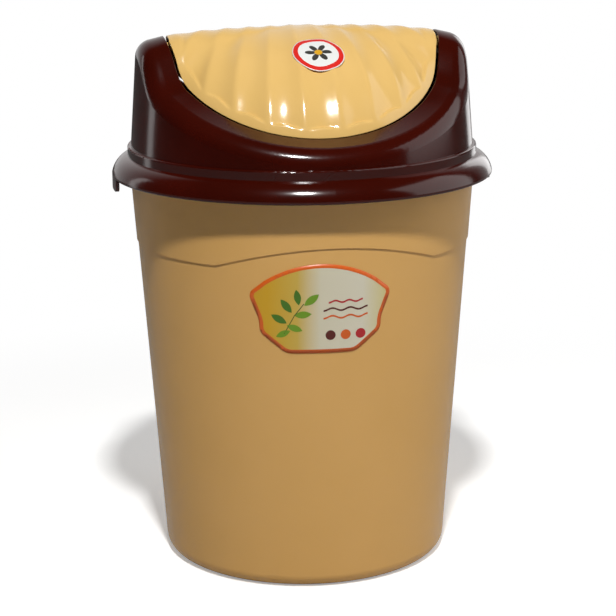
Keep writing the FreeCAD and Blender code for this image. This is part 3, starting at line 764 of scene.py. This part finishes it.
def flap_height(sizes, edge, across, forward, depth):
    """Height of the flap over a plan point, with flutes of a given depth."""
    def rise(step_across, step_forward):
        ahead = crown(sizes, edge, across + step_across, forward + step_forward)[0]
        behind = crown(sizes, edge, across - step_across, forward - step_forward)[0]
        return (ahead - behind) / (2 * SLOPE_STEP)

    here, rim = crown(sizes, edge, across, forward)
    inset = max(sizes.plan_radius - math.hypot(across, forward), 0)
    reach = math.hypot(inset, here - rim)
    wave = math.cos(math.pi * math.atan2(across, forward + sizes.focus) / sizes.pitch)
    hollow = math.sqrt(wave ** 2 + RIDGE_ROUNDING) - math.sqrt(RIDGE_ROUNDING)
    run = ease((reach - sizes.margin - sizes.bulge * hollow) / sizes.runout)
    run *= ease((forward + sizes.fade_end) / (sizes.fade_start + sizes.fade_end))
    steepness = math.sqrt(1 + rise(SLOPE_STEP, 0) ** 2 + rise(0, SLOPE_STEP) ** 2)
    return here - depth * hollow * run * steepness


def fluted_sheet(sizes):
    """Upper face of the flap, trimmed at its flat sides."""
    edge = edge_curve(sizes)
    shape = flat_disc(sizes.plan_radius, FLAP_RING_CUTS, FLAP_SPOKES)
    for vert in shape.verts:
        share = math.hypot(vert.co.x, vert.co.y) / sizes.plan_radius
        if share > 0:
            vert.co *= (1 - (1 - min(share, 1)) ** RING_CROWDING) / share
    for sign in (-1, 1):
        bmesh.ops.bisect_plane(
            shape, geom=everything(shape), dist=SIDE_CUT_TOLERANCE,
            plane_co=(sign * sizes.half_width, 0, 0), plane_no=(sign, 0, 0), clear_outer=True)
    for vert in shape.verts:
        vert.co.z = flap_height(sizes, edge, vert.co.x, -vert.co.y, sizes.depth)
    face_up(shape)
    return shape


def ears_and_stubs(sizes):
    """Two ears under the flap's sides, each with a collared stub pivot."""
    shape = bmesh.new()
    stubs = ((sizes.collar_radius, sizes.collar_length), (sizes.pivot_radius, sizes.pivot_length))
    for sign in (-1, 1):
        ear = bmesh.ops.create_cube(shape, size=1.0)["verts"]
        bmesh.ops.scale(shape, verts=ear, vec=(sizes.ear_thickness, sizes.ear_width, sizes.ear_height))
        bmesh.ops.translate(
            shape, verts=ear, vec=(sign * sizes.ear_place, 0, sizes.pivot_height + sizes.ear_rise))
        for radius, length in stubs:
            stub = bmesh.ops.create_cone(
                shape, cap_ends=True, segments=STUB_SEGMENTS, radius1=radius, radius2=radius,
                depth=length)["verts"]
            bmesh.ops.rotate(shape, verts=stub, matrix=Matrix.Rotation(math.pi / 2, 3, "Y"))
            middle = sizes.ear_place + length / 2
            bmesh.ops.translate(shape, verts=stub, vec=(sign * middle, 0, sizes.pivot_height))
    sharp = [line for line in shape.edges if line.calc_face_angle(0) > SHARP_ANGLE]
    bmesh.ops.bevel(
        shape, geom=sharp, offset=sizes.ear_rounding, affect="EDGES", segments=EAR_ROUNDING_SEGMENTS,
        profile=0.5, material=-1)
    return shape


class SWINGBIN_OT_flap(bpy.types.Operator):
    """Model the fluted flap with its ears and stub pivots"""
    bl_idname = "swingbin.flap"
    bl_label = "Fluted flap"

    def execute(self, context):
        sizes = context.scene.swingbin_flap
        cream = moulded_plastic(
            "cream_flap_polypropylene", sizes.cream_light, sizes.cream_dark, roughness=0.15, spread=0.03,
            peel=2.4 * MM, peel_height=0.012 * MM)
        flap = mesh_piece("fluted_flap", fluted_sheet(sizes), "flap", [cream])
        thicken(flap, "wall", sizes.wall)
        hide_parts("swing_flap")
        mesh_piece("flap_pivots", ears_and_stubs(sizes), "flap", [cream])
        return {"FINISHED"}


def wrap(shape, bucket, turn, lift):
    """Lay flat faces, drawn in X and Z, round the bucket's wall."""
    taper = (bucket.rim_radius - bucket.base_radius) / bucket.height
    for vert in shape.verts:
        radius = bucket.base_radius + taper * vert.co.z + lift
        angle = math.asin(vert.co.x / radius) - turn
        vert.co.x = radius * math.sin(angle)
        vert.co.y = -radius * math.cos(angle)


def slice_upright(shape):
    """Cut flat faces into upright strips that can bend round the wall."""
    for step in range(-STRIPS_PER_SIDE, STRIPS_PER_SIDE + 1):
        bmesh.ops.bisect_plane(
            shape, geom=everything(shape), dist=STRIP_CUT_TOLERANCE,
            plane_co=((step + STRIP_SHIFT) * STRIP_WIDTH, 0, 0), plane_no=(1, 0, 0))


def label_outline(sizes, bottom, top):
    """Points of the label's outline in X and Z: foot, waist, shoulders and arched top."""
    shoulder = bottom + sizes.shoulder_height
    side = [
        (sizes.foot / 2, bottom),
        (sizes.waist / 2, bottom + sizes.hip_height),
        (sizes.waist / 2, bottom + sizes.waist_height),
        (sizes.width / 2, shoulder),
    ]
    rise = top - shoulder
    arch = ((sizes.width / 2) ** 2 + rise ** 2) / (2 * rise)
    swing = math.asin(sizes.width / 2 / arch)
    arched_top = []
    for step in range(ARCH_CORNER_STEPS, ARCH_STEPS + 1 - ARCH_CORNER_STEPS):
        angle = swing * (1 - 2 * step / ARCH_STEPS)
        arched_top.append((arch * math.sin(angle), top - arch + arch * math.cos(angle)))
    return side + arched_top + [(-across, up) for across, up in reversed(side)]


def label_face(sizes, bucket, bottom, top):
    """Die-cut sheet with rounded corners and a border, laid round the wall."""
    shape = bmesh.new()
    corners = [shape.verts.new((across, 0, up)) for across, up in label_outline(sizes, bottom, top)]
    shape.faces.new(corners)
    sharp = corners[:SHARP_CORNERS_PER_SIDE] + corners[-SHARP_CORNERS_PER_SIDE:]
    bmesh.ops.bevel(
        shape, geom=sharp, offset=sizes.corner, affect="VERTICES", segments=CORNER_SEGMENTS, profile=0.5,
        material=-1, clamp_overlap=True)
    bmesh.ops.remove_doubles(shape, verts=shape.verts[:], dist=LABEL_MERGE_DISTANCE)
    field = shape.faces[:]
    rim = bmesh.ops.inset_region(
        shape, faces=field, thickness=sizes.border_width, use_boundary=True, use_even_offset=True)["faces"]
    for face in field:
        face.material_index = FIELD_PLACE
    for face in rim:
        face.material_index = BORDER_PLACE
    slice_upright(shape)
    wrap(shape, bucket, sizes.turn, sizes.lift)
    face_front(shape)
    return shape


def place_motif(shape, verts, across, up, lean, size, ink):
    """Set a motif drawn in X and Y at unit size on the label's flat sheet."""
    stand = Matrix.Rotation(-lean, 4, "Y") @ Matrix.Rotation(math.pi / 2, 4, "X")
    move = Matrix.Translation((across, 0, up)) @ stand @ Matrix.Scale(size, 4)
    bmesh.ops.transform(shape, matrix=move, verts=verts)
    for face in {face for vert in verts for face in vert.link_faces}:
        face.material_index = ink


def unit_circle(shape):
    """Filled circle of radius 1."""
    return bmesh.ops.create_circle(shape, cap_ends=True, radius=1.0, segments=MOTIF_SEGMENTS)["verts"]


def unit_strip(shape, segments):
    """Square from -1 to 1, cut along X."""
    return bmesh.ops.create_grid(shape, x_segments=segments, y_segments=1, size=1.0)["verts"]


def label_motifs(sizes, bucket, middle):
    """Sprig, wavy lines and dots, laid round the wall."""
    shape = bmesh.new()
    for spot, (across, up, lean, length) in enumerate(LEAVES):
        leaf = unit_circle(shape)
        for vert in leaf:
            vert.co.y *= math.sqrt(max(1 - vert.co.x ** 2, 0)) * LEAF_SLIMNESS
        place_motif(shape, leaf, across, middle + up, lean, length / 2, (LEAF, DEEP_LEAF)[spot % 2])
    for across, up, lean, length in STEMS:
        stem = unit_strip(shape, STEM_SEGMENTS)
        bmesh.ops.scale(shape, verts=stem, vec=(1, STEM_WIDTH / length, 1))
        place_motif(shape, stem, across, middle + up, lean, length / 2, STEM)
    for up, length, ink in RIBBONS:
        ribbon = unit_strip(shape, RIBBON_SEGMENTS)
        for vert in ribbon:
            sway = RIBBON_SWAY * math.sin(RIBBON_WAVES * math.pi * vert.co.x)
            vert.co.y = vert.co.y * RIBBON_WIDTH / length + sway
        place_motif(shape, ribbon, RIBBON_ACROSS, middle + up, 0, length / 2, ink)
    for across, ink in DOTS:
        place_motif(shape, unit_circle(shape), across, middle + DOTS_UP, 0, DOT_RADIUS, ink)
    slice_upright(shape)
    wrap(shape, bucket, sizes.turn, sizes.print_lift)
    face_front(shape)
    return shape


class SWINGBIN_OT_label(bpy.types.Operator):
    """Model the die-cut label with its border and print"""
    bl_idname = "swingbin.label"
    bl_label = "Front label"

    def execute(self, context):
        sizes = context.scene.swingbin_label
        bucket = context.scene.swingbin_bucket
        low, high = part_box("front_label")
        bottom, top = low[2], high[2]
        border = coated_paper("label_border_ink", sizes.border)
        field = label_field("label_field_ink", sizes.width / 2)
        face = label_face(sizes, bucket, bottom, top)
        label = mesh_piece("label_sheet", face, "bin", [border, field])
        thicken(label, "sheet", sizes.thickness)
        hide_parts("front_label")

        inks = [coated_paper(name, getattr(sizes, setting)) for name, setting in INKS]
        middle = bottom + (sizes.waist_height + sizes.hip_height) / 2
        motifs = label_motifs(sizes, bucket, middle)
        mesh_piece("label_print", motifs, "bin", inks)
        return {"FINISHED"}


def sticker_face(sizes, place):
    """Round sheet that follows the flap, pressed a little into its flutes."""
    edge = edge_curve(sizes)
    step = place.radius / 4
    depth = sizes.depth * place.settle
    ahead = flap_height(sizes, edge, place.across, place.forward + step, 0)
    behind = flap_height(sizes, edge, place.across, place.forward - step, 0)
    tilt = math.atan2(behind - ahead, 2 * step)
    shape = flat_disc(place.radius, STICKER_RING_CUTS, STICKER_SPOKES)
    layer = shape.loops.layers.uv.new("sticker")
    for face in shape.faces:
        for loop in face.loops:
            loop[layer].uv = (loop.vert.co.x / place.radius, loop.vert.co.y / place.radius)
    for vert in shape.verts:
        across = place.across + vert.co.x
        forward = place.forward - vert.co.y * math.cos(tilt)
        height = flap_height(sizes, edge, across, forward, depth) + place.lift / math.cos(tilt)
        vert.co = (across, -forward, height)
    face_up(shape)
    return shape


class SWINGBIN_OT_sticker(bpy.types.Operator):
    """Model the round sticker that lies on the flutes"""
    bl_idname = "swingbin.sticker"
    bl_label = "Flap sticker"

    def execute(self, context):
        place = context.scene.swingbin_sticker
        face = sticker_face(context.scene.swingbin_flap, place)
        paper = ringed_paper("printed_sticker_paper", place)
        sticker = mesh_piece("sticker_sheet", face, "flap", [paper])
        thicken(sticker, "sheet", place.thickness)
        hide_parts("flap_sticker")
        return {"FINISHED"}


def add_floor(sizes):
    """Wide sheet of paper under the bin."""
    shape = bmesh.new()
    bmesh.ops.create_grid(shape, x_segments=1, y_segments=1, size=FLOOR_REACH)
    floor = shape_object("studio_floor", shape, [seamless_paper("white_seamless_paper", sizes)])


def light_room(scene, sizes):
    """Room that is dark behind the camera and bright behind the bin, and white in the picture."""
    world = bpy.data.worlds.new("studio")
    scene.world = world
    world.use_nodes = True
    tree = world.node_tree
    tree.nodes.clear()
    seen = add_node(tree, "ShaderNodeLightPath").outputs["Is Camera Ray"]
    place = add_node(tree, "ShaderNodeTexCoord").outputs["Generated"]
    parts = add_node(tree, "ShaderNodeSeparateXYZ", inputs={"Vector": place})
    glow = remap(
        tree, parts.outputs["Y"], from_min=sizes.glow_start, from_max=sizes.glow_full,
        to_min=sizes.front_glow, to_max=sizes.back_glow)
    lit = add_node(tree, "ShaderNodeBackground", inputs={"Color": WHITE, "Strength": glow})
    shown = add_node(tree, "ShaderNodeBackground", inputs={"Color": WHITE, "Strength": 1.0})
    blend = mix_shaders(tree, seen, lit.outputs["Background"], shown.outputs["Background"])
    add_node(tree, "ShaderNodeOutputWorld", inputs={"Surface": blend})


def add_lamps(scene, sizes):
    """Area lamps, all turned to the middle of the bin."""
    for name, setting, place, width, height in LAMPS:
        data = bpy.data.lights.new(name, "AREA")
        data.shape = "RECTANGLE"
        data.size = width
        data.size_y = height
        data.energy = getattr(sizes, setting)
        lamp = bpy.data.objects.new(name, data)
        lamp.location = place
        lamp.rotation_euler = (LAMPS_AIM - Vector(place)).to_track_quat("-Z", "Y").to_euler()
        scene.collection.objects.link(lamp)


def add_camera(scene, sizes):
    """Camera at the photograph's place, with its aim and tilt."""
    data = bpy.data.cameras.new("photo_camera")
    data.lens = sizes.lens
    data.sensor_width = sizes.sensor
    camera = bpy.data.objects.new("photo_camera", data)
    heading = sizes.heading - sizes.azimuth
    level = math.cos(sizes.pitch)
    ahead = Vector((math.sin(heading) * level, math.cos(heading) * level, -math.sin(sizes.pitch)))
    right = ahead.cross(Vector((0, 0, 1))).normalized()
    above = right.cross(ahead)
    tipped = above * math.cos(sizes.roll) + right * math.sin(sizes.roll)
    across = ahead.cross(tipped)
    turned = Matrix((across, tipped, -ahead)).transposed()
    spot = Vector((
        math.sin(sizes.azimuth) * sizes.distance, -math.cos(sizes.azimuth) * sizes.distance, sizes.height))
    camera.matrix_world = Matrix.Translation(spot) @ turned.to_4x4()
    scene.collection.objects.link(camera)
    scene.camera = camera


class SWINGBIN_OT_stage(bpy.types.Operator):
    """Set the floor, the room's light, the lamps and the camera"""
    bl_idname = "swingbin.stage"
    bl_label = "Studio"

    def execute(self, context):
        scene = context.scene
        sizes = scene.swingbin_studio
        scene.view_settings.view_transform = "Standard"
        add_floor(sizes)
        light_room(scene, sizes)
        add_lamps(scene, sizes)
        add_camera(scene, sizes)
        return {"FINISHED"}


class SWINGBIN_PT_sidebar(bpy.types.Panel):
    """Steps that dress the bin, and their settings"""
    bl_idname = "SWINGBIN_PT_sidebar"
    bl_label = "Swing bin"
    bl_space_type = "VIEW_3D"
    bl_region_type = "UI"
    bl_category = "Swing bin"

    def draw(self, context):
        for step in STEPS:
            self.layout.operator(step.bl_idname)
        for holder, group in SETTINGS.items():
            for setting in group.__annotations__:
                self.layout.prop(getattr(context.scene, holder), setting)


SETTINGS = {
    "swingbin_bucket": BucketSettings,
    "swingbin_flap": FlapSettings,
    "swingbin_label": LabelSettings,
    "swingbin_sticker": StickerSettings,
    "swingbin_studio": StudioSettings,
}
STEPS = (SWINGBIN_OT_finishes, SWINGBIN_OT_flap, SWINGBIN_OT_label, SWINGBIN_OT_sticker, SWINGBIN_OT_stage)
CLASSES = (*SETTINGS.values(), *STEPS, SWINGBIN_PT_sidebar)


def register():
    """Add the classes and their settings to Blender."""
    for item in CLASSES:
        bpy.utils.register_class(item)
    for holder, group in SETTINGS.items():
        setattr(bpy.types.Scene, holder, bpy.props.PointerProperty(type=group))


def unregister():
    """Remove the classes and their settings."""
    for holder in SETTINGS:
        delattr(bpy.types.Scene, holder)
    for item in reversed(CLASSES):
        bpy.utils.unregister_class(item)


def main():
    """Dress the frame."""
    register()
    bpy.ops.swingbin.finishes()
    bpy.ops.swingbin.flap()
    bpy.ops.swingbin.label()
    bpy.ops.swingbin.sticker()
    bpy.ops.swingbin.stage()
    bpy.context.view_layer.update()


if __name__ == "__main__":
    main()
